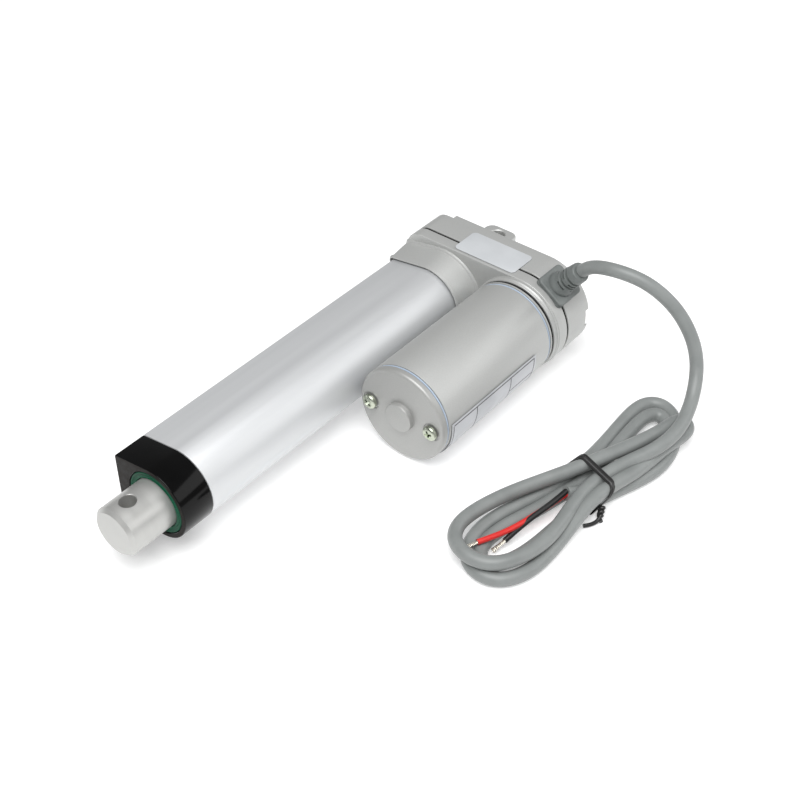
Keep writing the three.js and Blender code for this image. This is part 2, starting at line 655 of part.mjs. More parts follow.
// The hank's outline in plan: two round lobes of coiled cable drawn in at the waist by the tie.
function hankOutline() {
  const waist = [WAIST_X + 4, WAIST_X - 4];
  return new THREE.Shape([
    ...arc(-73, 97, 18.6, -0.9 * QUARTER, 0.9 * QUARTER, 14),
    new THREE.Vector2(waist[0], WAIST_Y[1]),
    new THREE.Vector2(waist[1], WAIST_Y[1]),
    new THREE.Vector2(-136, 123.4),
    ...arc(-161.5, 108, 17.8, QUARTER, 3 * QUARTER, 14),
    new THREE.Vector2(waist[1], WAIST_Y[0]),
    new THREE.Vector2(waist[0], WAIST_Y[0]),
  ]);
}

// A cubic spline from the first point to the last, drawn towards those between, given in the finished frame.
function smoothPath(points) {
  const spans = points.length - 3;
  const inner = Array.from({ length: spans - 1 }, (_, index) => index + 1);
  const knots = [0, 0, 0, 0, ...inner, spans, spans, spans, spans];
  const shift = new THREE.Vector3(...ORIGIN_SHIFT);
  const moved = points.map((point) => new THREE.Vector3(...point).sub(shift));
  const weighted = moved.map((point) => new THREE.Vector4(point.x, point.y, point.z, 1));
  return new NURBSCurve(3, knots, weighted);
}

// The cable: the lead from the gland, the coiled hank and the twist tie round its waist.
function addCable() {
  const path = smoothPath(leadRoute);
  const section = new THREE.Shape(arc(0, 0, CABLE_R, 0, 3.6 * QUARTER, 9));
  piece("cable_lead", new THREE.ExtrudeGeometry(section, { extrudePath: path, steps: 44 }), look.pvc);
  const top = FLOOR + HANK_HEIGHT;
  const under = box(WAIST_X - 2.2, WAIST_X + 2.2, WAIST_Y[0] - 9, WAIST_Y[1] + 9, FLOOR - 1, FLOOR + 1.7);
  piece("cable_hank", cut(upright(hankOutline(), FLOOR + 0.05, top), under), look.pvc);
  const inner = [WAIST_X - 3, WAIST_X + 3, WAIST_Y[0] - GAP, WAIST_Y[1] + GAP, FLOOR + 1.3, top + GAP];
  const outer = [WAIST_X - 1.8, WAIST_X + 1.8, WAIST_Y[0] - 1.4, WAIST_Y[1] + 1.4, FLOOR + 0.1, top + 1.4];
  piece("cable_tie", cut(box(...outer), box(...inner)), look.black);
}

addRod();
addScrew();
addIdler();
addRotor();
addTube();
addGearbox();
addMotor();
addLabels();
addGland();
addCable();

export default group;
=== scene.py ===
"""Looks of the linear actuator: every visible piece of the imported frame, rebuilt with its fine detail.

Lengths in this file are millimetres in the frame's own axes. Meshes are scaled to metres as they are made.
"""
import math

import bmesh
import bpy
from mathutils import Matrix, Vector
from mathutils.geometry import convex_hull_2d


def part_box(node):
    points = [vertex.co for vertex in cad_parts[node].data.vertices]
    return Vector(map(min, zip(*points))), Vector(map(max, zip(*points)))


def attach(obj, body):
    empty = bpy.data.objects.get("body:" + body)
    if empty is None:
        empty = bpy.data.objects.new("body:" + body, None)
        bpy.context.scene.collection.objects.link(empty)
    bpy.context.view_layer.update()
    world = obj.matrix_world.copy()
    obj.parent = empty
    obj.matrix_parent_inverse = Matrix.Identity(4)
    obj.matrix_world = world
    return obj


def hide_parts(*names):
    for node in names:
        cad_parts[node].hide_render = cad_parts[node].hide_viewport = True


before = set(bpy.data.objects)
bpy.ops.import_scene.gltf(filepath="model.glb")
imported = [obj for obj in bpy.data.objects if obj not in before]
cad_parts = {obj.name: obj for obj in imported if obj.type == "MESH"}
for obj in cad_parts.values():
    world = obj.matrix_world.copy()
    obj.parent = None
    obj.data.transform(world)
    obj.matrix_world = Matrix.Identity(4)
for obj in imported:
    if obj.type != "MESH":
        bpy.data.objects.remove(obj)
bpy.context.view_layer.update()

MM = 0.001
GAP = 0.3
QUARTER = math.pi / 2
X = 0
Y = 1
Z = 2


# ---- places read from the frame ------------------------------------------------------------------
def ends(node, axis):
    """A node's lowest and highest value along one axis."""
    low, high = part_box(node)
    return low[axis] / MM, high[axis] / MM


def middle(node, axis):
    return sum(ends(node, axis)) / 2


SPINDLE = (middle("extension_rod", Y), middle("extension_rod", Z))
MOTOR = (middle("motor_cover", Y), middle("motor_cover", Z))
TUBE_X = ends("outer_tube", X)
TUBE_R = ends("outer_tube", Z)[1] - SPINDLE[1]
TUBE_FLAT = SPINDLE[0] - ends("outer_tube", Y)[0]
TUBE_CORNER = 12.2
TUBE_WALL = 2
CAP_X = (TUBE_X[1] + GAP, ends("front_cap", X)[1])
ROD_X = ends("extension_rod", X)
ROD_R = 10
ROD_CHAMFER = 1.4
ROD_BORE_R = 7.2
ROD_BORE_END = ROD_X[1] - 27.4
CROSS_HOLE_R = 3.2
CROSS_HOLE_X = ROD_X[1] - 8
CROSS_PIN_R = 1.3
SEAL_SEAT_R = 13
SEAL_SEAT_DEPTH = 7.3
BUSH_SEAT = (8.3, 30)
BUSH_SEAT_R = 11.8
NECK_X = (ends("gearbox_front_housing", X)[1] - 11.9, ends("gearbox_front_housing", X)[1])
MOTOR_SEAT = NECK_X[0] + 2.9
REAR_X = ends("gearbox_rear_housing", X)
EYE_END = REAR_X[0]
EYE_HOLE = EYE_END + 5.4
EYE_HALF_WIDTH = 7.8
EYE_HALF_HEIGHT = 7
EYE_CORNER = 4
PAD_X = (EYE_END + 21.8, EYE_END + 24.6)
HOUSING_R = ends("gearbox_front_housing", Z)[1] - MOTOR[1]
HOUSING_FLAT = SPINDLE[0] - ends("gearbox_front_housing", Y)[0]
HOUSING_CORNER = 7
COLLAR_R = 20.6
BEARING_SEAT_R = 11.3
MOTOR_SHAFT_HOLE_R = 4.3
SCREW_HOLE_R = 1.8
SCREW_SHANK_R = 1.5
SCREW_HEAD = 2
HOUSING_HEAD_R = 2.75
TIE_HEAD_R = 3.1
MOTOR_R = ends("motor_cover", Z)[1] - MOTOR[1]
COVER_WALL = 1.5
LID_DEPTH = 2.9
BOSS_R = 6.1
BOSS_HEIGHT = 2.2
TIE_OFFSET = 14.6
RATING_TURN = (-1.05, 0.14)
GLAND_X = middle("cable_gland", X)
GLAND_TILT = math.radians(34.5)
GLAND_FACE = 22.7
GLAND_PLATE = (7.5, 7.25)
GLAND_CORNER = 2.2
BOOT_LENGTH = 13.5
BOOT_LEAN = math.radians(6)
CABLE_R = 2.75
CORE_R = 1.1
STRAND_R = 0.2
STRAND_CIRCLE = 0.45
TIE_CORD_R = 0.8
WAIST_X = middle("cable_tie", X)
WAIST_Y = 85
WAIST_TOP = 11.7
TIE_SKEW = 0.1
TIE_LEAN = 0.85
TIE_LIFT = 0.62
KNOT_Z = 3.6


# ---- camera --------------------------------------------------------------------------------------
def add_camera():
    """The photograph's place, direction and lens."""
    camera = bpy.data.objects.new("camera", bpy.data.cameras.new("camera"))
    camera.data.lens = 62.1
    camera.data.clip_end = 10
    camera.location = Vector((309.9, 263.9, 365.4)) * MM
    target = Vector((-2.3, 10.7, 20.9)) * MM
    camera.rotation_euler = (target - camera.location).to_track_quat("-Z", "Y").to_euler()
    bpy.context.scene.collection.objects.link(camera)
    bpy.context.scene.camera = camera


# ---- materials -----------------------------------------------------------------------------------
def noise(tree, scale, detail=2.0):
    """Noise over the piece's own coordinates, with a scale of its own along each axis."""
    place = tree.nodes.new("ShaderNodeTexCoord")
    stretch = tree.nodes.new("ShaderNodeMapping")
    stretch.inputs["Scale"].default_value = scale
    texture = tree.nodes.new("ShaderNodeTexNoise")
    texture.inputs["Scale"].default_value = 1
    texture.inputs["Detail"].default_value = detail
    tree.links.new(place.outputs["Object"], stretch.inputs["Vector"])
    tree.links.new(stretch.outputs["Vector"], texture.inputs["Vector"])
    return texture.outputs["Fac"]


def spread(tree, value, low, high):
    """The noise's useful middle, stretched from low to high."""
    limits = tree.nodes.new("ShaderNodeMapRange")
    limits.inputs["From Min"].default_value = 0.3
    limits.inputs["From Max"].default_value = 0.7
    limits.inputs["To Min"].default_value = low
    limits.inputs["To Max"].default_value = high
    tree.links.new(value, limits.inputs["Value"])
    return limits.outputs["Result"]


def finish(name, dark, light, roughness, tone_scale, grain_scale, bump, metallic=0.0, coat=0.0, sheen=0.0,
           specular=0.5):
    """A material whose tone, roughness and fine relief all vary over the surface.

    bump is the relief's height in millimetres.
    """
    material = bpy.data.materials.new(name)
    material.use_nodes = True
    tree = material.node_tree
    shader = tree.nodes["Principled BSDF"]
    shader.inputs["Metallic"].default_value = metallic
    shader.inputs["Coat Weight"].default_value = coat
    shader.inputs["Coat Roughness"].default_value = 0.12
    shader.inputs["Sheen Weight"].default_value = sheen
    shader.inputs["Specular IOR Level"].default_value = specular
    tone = noise(tree, tone_scale, 4.0)
    ramp = tree.nodes.new("ShaderNodeValToRGB")
    ramp.color_ramp.elements[0].position = 0.3
    ramp.color_ramp.elements[0].color = (*dark, 1)
    ramp.color_ramp.elements[1].position = 0.7
    ramp.color_ramp.elements[1].color = (*light, 1)
    tree.links.new(tone, ramp.inputs["Fac"])
    tree.links.new(ramp.outputs["Color"], shader.inputs["Base Color"])
    tree.links.new(spread(tree, tone, *roughness), shader.inputs["Roughness"])
    relief = tree.nodes.new("ShaderNodeBump")
    relief.inputs["Strength"].default_value = 1
    relief.inputs["Distance"].default_value = bump * MM
    tree.links.new(noise(tree, grain_scale), relief.inputs["Height"])
    tree.links.new(relief.outputs["Normal"], shader.inputs["Normal"])
    return material


EVEN = (60, 60, 60)
CLOUDY = (300, 300, 300)
SPECKS = (3200, 3200, 3200)
FINE = (2600, 2600, 2600)
PEEL = (700, 700, 700)

LOOKS = {
    "anodised": finish("anodised", (0.62, 0.63, 0.64), (0.66, 0.67, 0.68), (0.44, 0.50), (6, 200, 200),
                       (2400, 2400, 2400), 0.004, metallic=0.45),
    "rod": finish("turned_rod", (0.475, 0.475, 0.46), (0.53, 0.53, 0.515), (0.35, 0.44), (200, 40, 40),
                  (3000, 3000, 3000), 0.002, metallic=0.58),
    "paint": finish("silver_paint", (0.445, 0.45, 0.44), (0.495, 0.50, 0.49), (0.42, 0.50), SPECKS,
                    PEEL, 0.010, metallic=0.38, coat=0.06),
    # The lid's paint is the housing's silver paint made darker: painted shade for the lid's face, which
    # takes less light.
    "lid_painted_shade": finish("lid_painted_shade", (0.36, 0.362, 0.352), (0.405, 0.407, 0.397), (0.42, 0.50), SPECKS,
                        PEEL, 0.010, metallic=0.38, coat=0.06),
    "black_plastic": finish("gloss_black", (0.002, 0.002, 0.002), (0.004, 0.004, 0.004), (0.10, 0.16),
                            EVEN, FINE, 0.002, specular=0.17),
    "cap_face": finish("matte_black", (0.006, 0.005, 0.004), (0.012, 0.009, 0.007), (0.50, 0.65),
                       (500, 500, 500), FINE, 0.02, specular=0.2),
    "seal_green": finish("green_rubber", (0.003, 0.070, 0.035), (0.006, 0.100, 0.050), (0.40, 0.55),
                         EVEN, FINE, 0.008, specular=0.15),
    "polymer": finish("white_polymer", (0.62, 0.60, 0.54), (0.74, 0.72, 0.66), (0.38, 0.5),
                      EVEN, FINE, 0.008),
    "gasket_black": finish("gasket_black", (0.004, 0.004, 0.004), (0.010, 0.010, 0.010), (0.6, 0.8),
                           EVEN, FINE, 0.02, specular=0.2),
    "gasket_blue": finish("gasket_blue", (0.37, 0.45, 0.56), (0.45, 0.53, 0.64), (0.4, 0.5),
                          EVEN, FINE, 0.01),
    "zinc": finish("yellow_zinc", (0.40, 0.44, 0.36), (0.54, 0.57, 0.47), (0.22, 0.36),
                   CLOUDY, FINE, 0.006, metallic=1.0),
    "steel": finish("steel", (0.40, 0.41, 0.42), (0.55, 0.55, 0.56), (0.25, 0.38),
                    (200, 200, 200), FINE, 0.006, metallic=1.0),
    "brass": finish("brass", (0.50, 0.35, 0.12), (0.60, 0.44, 0.18), (0.25, 0.4),
                    (200, 200, 200), FINE, 0.005, metallic=1.0),
    "copper": finish("copper", (0.42, 0.14, 0.05), (0.55, 0.22, 0.09), (0.28, 0.42),
                     (500, 500, 500), FINE, 0.01, metallic=1.0),
    "magnet": finish("magnet", (0.035, 0.035, 0.038), (0.06, 0.06, 0.065), (0.5, 0.7),
                     EVEN, FINE, 0.02, metallic=0.3),
    "board": finish("circuit_board", (0.010, 0.075, 0.030), (0.020, 0.110, 0.050), (0.35, 0.5),
                    EVEN, FINE, 0.01),
    "black_matte": finish("tie_plastic", (0.008, 0.008, 0.008), (0.020, 0.020, 0.020), (0.28, 0.42),
                          EVEN, FINE, 0.006),
    "pvc": finish("grey_pvc", (0.198, 0.210, 0.206), (0.232, 0.245, 0.240), (0.36, 0.46),
                  (120, 120, 120), (1500, 1500, 1500), 0.006, sheen=0.05),
    "gland": finish("gland_grey", (0.125, 0.138, 0.134), (0.155, 0.168, 0.164), (0.40, 0.50),
                    CLOUDY, (1500, 1500, 1500), 0.008),
    "label": finish("label_film", (0.57, 0.59, 0.61), (0.64, 0.66, 0.68), (0.28, 0.40),
                    EVEN, FINE, 0.004, metallic=0.2, coat=0.3),
    "plate_film": finish("plate_film", (0.42, 0.43, 0.45), (0.54, 0.55, 0.57), (0.34, 0.46),
                         (90, 90, 90), FINE, 0.004, metallic=0.3),
    "print": finish("label_ink", (0.030, 0.032, 0.040), (0.060, 0.062, 0.070), (0.4, 0.5),
                    EVEN, FINE, 0.002),
    "core_red": finish("red_insulation", (0.55, 0.020, 0.018), (0.70, 0.035, 0.030), (0.32, 0.44),
                       EVEN, FINE, 0.004),
    "core_black": finish("black_insulation", (0.008, 0.008, 0.008), (0.018, 0.018, 0.018), (0.28, 0.40),
                         EVEN, FINE, 0.004),
    "tin": finish("tinned_copper", (0.62, 0.58, 0.50), (0.78, 0.74, 0.66), (0.2, 0.35),
                  (900, 900, 900), FINE, 0.006, metallic=1.0),
}


# ---- mesh helpers --------------------------------------------------------------------------------
def draft(vertices, faces):
    """A closed body in millimetres, not yet a piece."""
    mesh = bpy.data.meshes.new("draft")
    mesh.from_pydata(vertices, [], faces)
    shape = bmesh.new()
    shape.from_mesh(mesh)
    bmesh.ops.recalc_face_normals(shape, faces=shape.faces)
    shape.to_mesh(mesh)
    shape.free()
    body = bpy.data.objects.new("draft", mesh)
    bpy.context.scene.collection.objects.link(body)
    return body


def stitched(rings, closed=False):
    """A body through rings of points; a ring of one point closes its end to a tip."""
    vertices = []
    indices = []
    for ring in rings:
        indices.append(range(len(vertices), len(vertices) + len(ring)))
        vertices.extend(ring)
    pairs = list(zip(indices, indices[1:]))
    if closed:
        pairs.append((indices[-1], indices[0]))
    faces = []
    for first, second in pairs:
        count = max(len(first), len(second))
        for i in range(count if len(first) + len(second) > 2 else 0):
            j = (i + 1) % count
            quad = [first[i % len(first)], first[j % len(first)]]
            quad += [second[j % len(second)], second[i % len(second)]]
            faces.append(list(dict.fromkeys(quad)))
    if not closed:
        faces.extend(list(ring) for ring in (indices[0], indices[-1]) if len(ring) > 2)
    return draft(vertices, faces)


def turned(profile, axis, segments=96):
    """A body turned about X through axis, from (x, radius) corners. Off the axis, the line closes."""
    rings = []
    for x, r in profile:
        steps = range(segments if r > 0 else 1)
        turns = [2 * math.pi * i / segments for i in steps]
        rings.append([(x, axis[0] + r * math.cos(a), axis[1] + r * math.sin(a)) for a in turns])
    return stitched(rings, closed=profile[0][1] > 0)


def eased(low, high, low_round, high_round, steps=5):
    """(place, offset) stations of a prism whose two ends are rounded over."""
    stations = []
    for i in range(steps + 1):
        a = QUARTER * i / steps
        stations.append((low + low_round * (1 - math.cos(a)), -low_round * (1 - math.sin(a))))
    for i in range(steps + 1):
        a = QUARTER * (1 - i / steps)
        stations.append((high - high_round * (1 - math.cos(a)), -high_round * (1 - math.sin(a))))
    return stations


def disc(x0, x1, r, axis, low_round=0.2, high_round=0.2, segments=96):
    """A round bar along X with its two edges rounded."""
    rim = [(x, r + offset) for x, offset in eased(x0, x1, low_round, high_round)]
    return turned([(x0, 0), *rim, (x1, 0)], axis, segments)


def hoop(x0, x1, r0, r1, axis, edge=0.15, segments=96):
    """A ring along X with rounded outer edges."""
    rim = [(x, r1 + offset) for x, offset in eased(x0, x1, edge, edge, 3)]
    return turned([(x0, r0), *rim, (x1, r0)], axis, segments)


def prism(outline, stations):
    """A body along X, from an outline(offset) of (y, z) points and (x, offset) stations."""
    return stitched([[(x, y, z) for y, z in outline(offset)] for x, offset in stations])


def upright(outline, stations):
    """The same along Z, from an outline(offset) of (x, y) points and (z, offset) stations."""
    return stitched([[(x, y, z) for x, y in outline(offset)] for z, offset in stations])


def block(x0, x1, y0, y1, z0, z1):
    corners = [(y0, z0), (y1, z0), (y1, z1), (y0, z1)]
    return stitched([[(x, y, z) for y, z in corners] for x in (x0, x1)])


def pillar(x, y, z0, z1, r, segments=48):
    """A round bar along Z."""
    turns = [2 * math.pi * i / segments for i in range(segments)]
    return stitched([[(x + r * math.cos(a), y + r * math.sin(a), z) for a in turns] for z in (z0, z1)])


def cross_bore(x, profile, segments=64):
    """A cutter along Z through the spindle's axis, from (height, radius) corners."""
    turns = [2 * math.pi * i / segments for i in range(segments)]
    return stitched([[(x + r * math.cos(a), SPINDLE[0] + r * math.sin(a), SPINDLE[1] + z) for a in turns]
                     for z, r in profile])


def combine(body, others, operation):
    """Joins, cuts or intersects a body with others, which are used up."""
    for other in others:
        step = body.modifiers.new("combine", "BOOLEAN")
        step.object = other
        step.operation = operation
        step.solver = "MANIFOLD"
    bpy.context.view_layer.update()
    made = bpy.data.meshes.new_from_object(body.evaluated_get(bpy.context.evaluated_depsgraph_get()))
    body.modifiers.clear()
    body.data = made
    for other in others:
        bpy.data.objects.remove(other)
    return body


def join(body, *others):
    return combine(body, others, "UNION")


def cut(body, *others):
    return combine(body, others, "DIFFERENCE")


def piece(name, body, look, rides="housing", nodes=(), angle=28):
    """Makes a draft a named piece: smooth, in metres, on its body and standing for its CAD nodes."""
    body.name = name
    body.data.name = name
    body.data.transform(Matrix.Scale(MM, 4))
    body.data.materials.clear()
    body.data.materials.append(LOOKS[look])
    body.data.polygons.foreach_set("use_smooth", [True] * len(body.data.polygons))
    body.data.set_sharp_from_angle(angle=math.radians(angle))
    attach(body, rides)
    if nodes:
        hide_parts(*nodes)
    return body


# ---- cable ---------------------------------------------------------------------------------------
# The way down from the gland's boot.
LEAD = [(-81.5, 38.7, 50.2), (-81.5, 40.6, 52.4), (-80.5, 44.5, 55.5), (-80, 50.5, 57.6),
        (-80.5, 57.3, 58.3), (-82.5, 64.3, 57), (-84.5, 70.3, 54), (-86.5, 75.8, 49.5), (-88, 80.3, 44.5),
        (-89, 84.3, 38.5), (-89, 87.8, 32.5), (-87.5, 90.8, 26), (-83.5, 93.3, 20.5), (-79, 95, 17),
        (-75.5, 96.2, 15.6)]
# The hank, folded on the floor: each list runs from the tie round one end of the hank.
OVER = [(-69, 97.8, 13.8), (-63, 98.6, 13), (-56, 98.5, 12.5), (-47.5, 96.2, 11), (-39, 91.6, 9.6),
        (-29, 88, 8.4)]
FRONT_UPPER = [(-18.5, 86.5, 8.3), (-6, 87.8, 8.3), (7, 90, 8.3), (17.5, 89.8, 8.3), (27.5, 87, 8.3),
               (34.5, 82.3, 8.3), (37, 75.3, 8.3), (36, 68.3, 8.3), (32, 62.8, 8.3), (25, 60.5, 8.3),
               (15, 61.8, 8.3), (3.5, 65.3, 8.5), (-8.3, 70.9, 9), (-20.5, 77.3, 9.8)]
REAR_FOLD = [(-33, 82.6, 10.2), (-45, 87.2, 10), (-56, 90.6, 9.6), (-64, 92.6, 9.4), (-70, 93.3, 9.6),
             (-73.6, 95.8, 8.9), (-72, 99.2, 7.3), (-66, 98.8, 7), (-58, 97.2, 7.2), (-47.5, 96.6, 7),
             (-36.5, 95.3, 7.2)]
FRONT_OUTER = [(-23.5, 92.3, 8.2), (-12.5, 91, 7.5), (-0.5, 91.4, 4.8), (11, 91.8, 2.8), (22, 91.8, 2.8),
               (30.5, 89.3, 2.8), (36, 84.3, 2.8), (37, 77.8, 2.8), (35, 71.5, 2.8), (28.5, 66.8, 2.8),
               (18.5, 65.1, 2.8), (8.5, 66.5, 2.8), (-1.8, 69.8, 3), (-11.5, 73.2, 3.6)]
REAR_OUTER = [(-19.5, 74.8, 4.4), (-27, 76, 5.2), (-35, 76.8, 4.9), (-43, 76.2, 3.8), (-51, 75.4, 2.9),
              (-60, 74.7, 2.8), (-69, 74, 2.8), (-77.5, 74.4, 2.8), (-82.6, 78.2, 2.8), (-82.2, 84.4, 2.8),
              (-78.2, 90, 2.8), (-70.5, 94.6, 2.8), (-61, 98.4, 2.8), (-51, 99.6, 2.8), (-40.5, 97.4, 2.8)]
FRONT_INNER = [(-28.5, 92.8, 2.8), (-17, 89, 2.8), (-5, 86.8, 2.8), (8, 86.2, 2.8), (17.5, 85.2, 2.8),
               (25.5, 83, 2.8), (31.2, 79, 2.8), (31, 74, 2.8), (26.3, 71, 2.8), (19.5, 70.6, 2.8),
               (11, 71.9, 2.8), (0, 75.4, 2.8), (-12, 78.2, 2.8)]
REAR_INNER = [(-22, 79.8, 2.8), (-31, 80.9, 2.8), (-38.5, 81.4, 3.2), (-46, 81.2, 4), (-54, 80.7, 4.5),
              (-62, 80.3, 4.5), (-70, 80.2, 4.3), (-75.6, 82.4, 3.9), (-75.6, 87, 3.3), (-70.5, 90.2, 2.8),
              (-62.5, 92, 2.8), (-50, 91.6, 2.8), (-37, 89.6, 2.8)]
TAIL = [(-26, 87.2, 2.8), (-18.5, 84, 3.8), (-13.2, 81, 6)]
FIRST_LAP = FRONT_UPPER + REAR_FOLD
SECOND_LAP = FRONT_OUTER + REAR_OUTER
THIRD_LAP = FRONT_INNER + REAR_INNER
CABLE_ROUTE = LEAD + OVER + FIRST_LAP + SECOND_LAP + THIRD_LAP + TAIL
# The insulated part of each core, and the tip of its bare strands.
RED_ROUTE = [(-13, 81.4, 6), (-5.5, 80, 5.8), (3.5, 78.2, 5.6), (13, 77, 6.5), (21, 74.3, 6.8),
             (28, 70.8, 6.8)]
RED_TIP = (33.6, 68.2, 6.2)
BLACK_ROUTE = [(-13, 81.2, 7.4), (-4, 81, 7.8), (6, 78.4, 6.6), (12.5, 77.3, 5), (18.7, 76.3, 3.6)]
BLACK_TIP = (24.4, 75.1, 2.2)


def spline_points(route, samples=24):
    """Points along the cubic spline that a curve object draws towards the points of a route."""
    count = len(route)
    knots = [0] * 4 + list(range(1, count - 3)) + [count - 3] * 4
    points = []
    for step in range((count - 3) * samples + 1):
        t = min(step / samples, count - 3 - 1e-9)
        span = int(t) + 3
        local = [Vector(route[span - 3 + j]) for j in range(4)]
        for level in range(1, 4):
            for j in range(3, level - 1, -1):
                low = knots[span - 3 + j]
                share = (t - low) / (knots[span + 1 + j - level] - low)
                local[j] = local[j - 1].lerp(local[j], share)
        points.append(local[3])
    return points


def round_cord(name, route, r, look, fineness=6):
    """A round cord as one open spline."""
    curve = bpy.data.curves.new(name, "CURVE")
    curve.dimensions = "3D"
    curve.bevel_depth = r * MM
    curve.bevel_resolution = fineness
    curve.resolution_u = 8
    curve.use_fill_caps = True
    spline = curve.splines.new("NURBS")
    spline.points.add(len(route) - 1)
    for point, place in zip(spline.points, route):
        point.co = (*(Vector(place) * MM), 1)
    spline.order_u = 4
    spline.use_endpoint_u = True
    curve.materials.append(LOOKS[look])
    cord = bpy.data.objects.new(name, curve)
    bpy.context.scene.collection.objects.link(cord)
    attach(cord, "housing")
    return cord


def strands(name, start, end, count=7):
    """A core's tinned end: fine wires twisted round one another, splayed a little at the tip."""
    along = (end - start).normalized()
    side = along.cross(Vector((0, 0, 1))).normalized()
    up = side.cross(along)
    length = (end - start).length
    made = []
    for wire in range(count):
        radius = 0 if wire == 0 else STRAND_CIRCLE
        route = []
        for step in range(9):
            t = step / 8
            turn = 2 * math.pi * (wire / (count - 1) + 0.8 * t)
            grown = radius * (1 + 0.9 * t * t)
            out = side * math.cos(turn) + up * math.sin(turn)
            route.append(start + along * (length * t) + out * grown)
        made.append(round_cord(f"{name}_{wire + 1}", route, STRAND_R, "tin", 3))
    return made


def add_core(name, route, look, tip):
    """A core of the cable, bare at its end."""
    core = round_cord(name, route, CORE_R, look)
    cut_end = Vector(route[-1])
    hidden_start = cut_end - (Vector(tip) - cut_end) * 0.3
    wires = strands(f"{name}_wire", hidden_start, Vector(tip))


def tie_place(y, z):
    """Where the tie's leaning plane stands along X, from its highest place over the hank."""
    return WAIST_X + TIE_SKEW * (y - WAIST_Y) - TIE_LEAN * (z - WAIST_TOP)


def tie_loop(points):
    """The line that a band takes round the strands that cross the tie's plane: (y, z) points."""
    corners = []
    for a, b in zip(points, points[1:]):
        before = a.x - tie_place(a.y, a.z)
        after = b.x - tie_place(b.y, b.z)
        if before * after < 0 and a.z < 16:
            centre = a.lerp(b, before / (before - after))
            for i in range(24):
                turn = math.pi * i / 12
                reach = CABLE_R + 0.1
                corners.append((centre.y + reach * math.cos(turn), centre.z + reach * math.sin(turn)))
    return [Vector(corners[i]) for i in convex_hull_2d(corners)]


def band(line):
    """A closed flat tie with a wire ridge along its middle, from (place, width axis, outward) frames."""
    half = [(1.6, 0), (1.6, 0.28), (1.15, 0.4), (0.64, 0.3), (0.32, 0.5)]
    section = [(-u, v) for u, v in half] + [(0, 0.58)] + half[::-1]
    rings = [[tuple(place + wide * u + out * v) for u, v in section] for place, wide, out in line]
    return stitched(rings, closed=True)


def evenly(loop, count):
    """Points spaced evenly along a closed line."""
    total = sum((loop[i] - loop[i - 1]).length for i in range(len(loop)))
    spaced = []
    walked = 0
    corner = 0
    for step in range(count):
        aim = total * step / count
        while walked + (loop[(corner + 1) % len(loop)] - loop[corner]).length < aim:
            walked += (loop[(corner + 1) % len(loop)] - loop[corner]).length
            corner += 1
        a = loop[corner]
        b = loop[(corner + 1) % len(loop)]
        spaced.append(a.lerp(b, (aim - walked) / (b - a).length))
    return spaced


def tie_frames(line):
    """The band's place, width axis and outward way at each point of its line, kept clear of the floor."""
    count = len(line)
    centre = sum(line, Vector((0, 0))) / count
    frames = []
    for i, point in enumerate(line):
        tangent = (line[(i + 2) % count] - line[i - 2]).normalized()
        out = Vector((tangent.y, -tangent.x))
        if out.dot(point - centre) < 0:
            out = -out
        y = point.x
        z = max(point.y, TIE_LIFT)
        wide = Vector((1, 0, 0)) if abs(out.y) < 0.5 else Vector((1, 0.1, 0)).normalized()
        frames.append((Vector((tie_place(y, z), y, z)), wide, Vector((0, out.x, out.y))))
    return frames


def add_tie(points):
    """The twist tie: a band round the waist, its twisted knot and its two ends, one of them curled."""
    line = evenly(tie_loop(points), 120)
    tie = [piece("cable_tie_band", band(tie_frames(line)), "black_matte", nodes=["cable_tie"])]
    side = max(p.x for p in line) - 0.8
    knot = Vector((tie_place(side, KNOT_Z) + 0.4, side, KNOT_Z))
    curl = [(4.6, 1.6, 0.95), (8, 0.6, 0.95), (10.2, -1.4, 0.95)]
    stub = [(4.4, 2.6, 1.1)]
    for half, last in enumerate((curl, stub)):
        route = []
        for step in range(11):
            t = step / 10
            turn = 2 * math.pi * 1.2 * t + math.pi * half
            twist = Vector((0, math.cos(turn), math.sin(turn))) * 0.7
            route.append(knot + Vector((3.2 * t, 1.2 * t, -1.6 * t)) + twist)
        route += [Vector((knot.x + x, knot.y + y, z)) for x, y, z in last]
        end = round_cord(f"cable_tie_end_{half + 1}", route, TIE_CORD_R, "black_matte", 4)
        tie.append(end)
    return tie


def add_cable():
    points = spline_points(CABLE_ROUTE)
    cable = round_cord("cable", CABLE_ROUTE, CABLE_R, "pvc", 8)
    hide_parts("cable_lead", "cable_hank")
    tie = add_tie(points)
    add_core("core_red", RED_ROUTE, "core_red", RED_TIP)
    add_core("core_black", BLACK_ROUTE, "core_black", BLACK_TIP)


# ---- outlines, as points across the object -------------------------------------------------------
def arc(cy, cz, r, a0, a1, steps):
    turns = [a0 + (a1 - a0) * i / steps for i in range(steps + 1)]
    return [(cy + r * math.cos(a), cz + r * math.sin(a)) for a in turns]


def fillet(before, corner, after, r, steps=5):
    """The arc that rounds a corner between two straight lines."""
    into = (Vector(corner) - Vector(before)).normalized()
    away = (Vector(after) - Vector(corner)).normalized()
    half = into.angle_signed(away) / 2
    setback = r * abs(math.tan(half))
    centre_way = (away - into).normalized()
    centre = Vector(corner) + centre_way * (r / math.cos(half))
    first = Vector(corner) - into * setback - centre
    last = Vector(corner) + away * setback - centre
    sweep = first.angle_signed(last)
    points = []
    for i in range(steps + 1):
        a = -sweep * i / steps
        points.append((centre.x + first.x * math.cos(a) - first.y * math.sin(a),
                       centre.y + first.x * math.sin(a) + first.y * math.cos(a)))
    return points


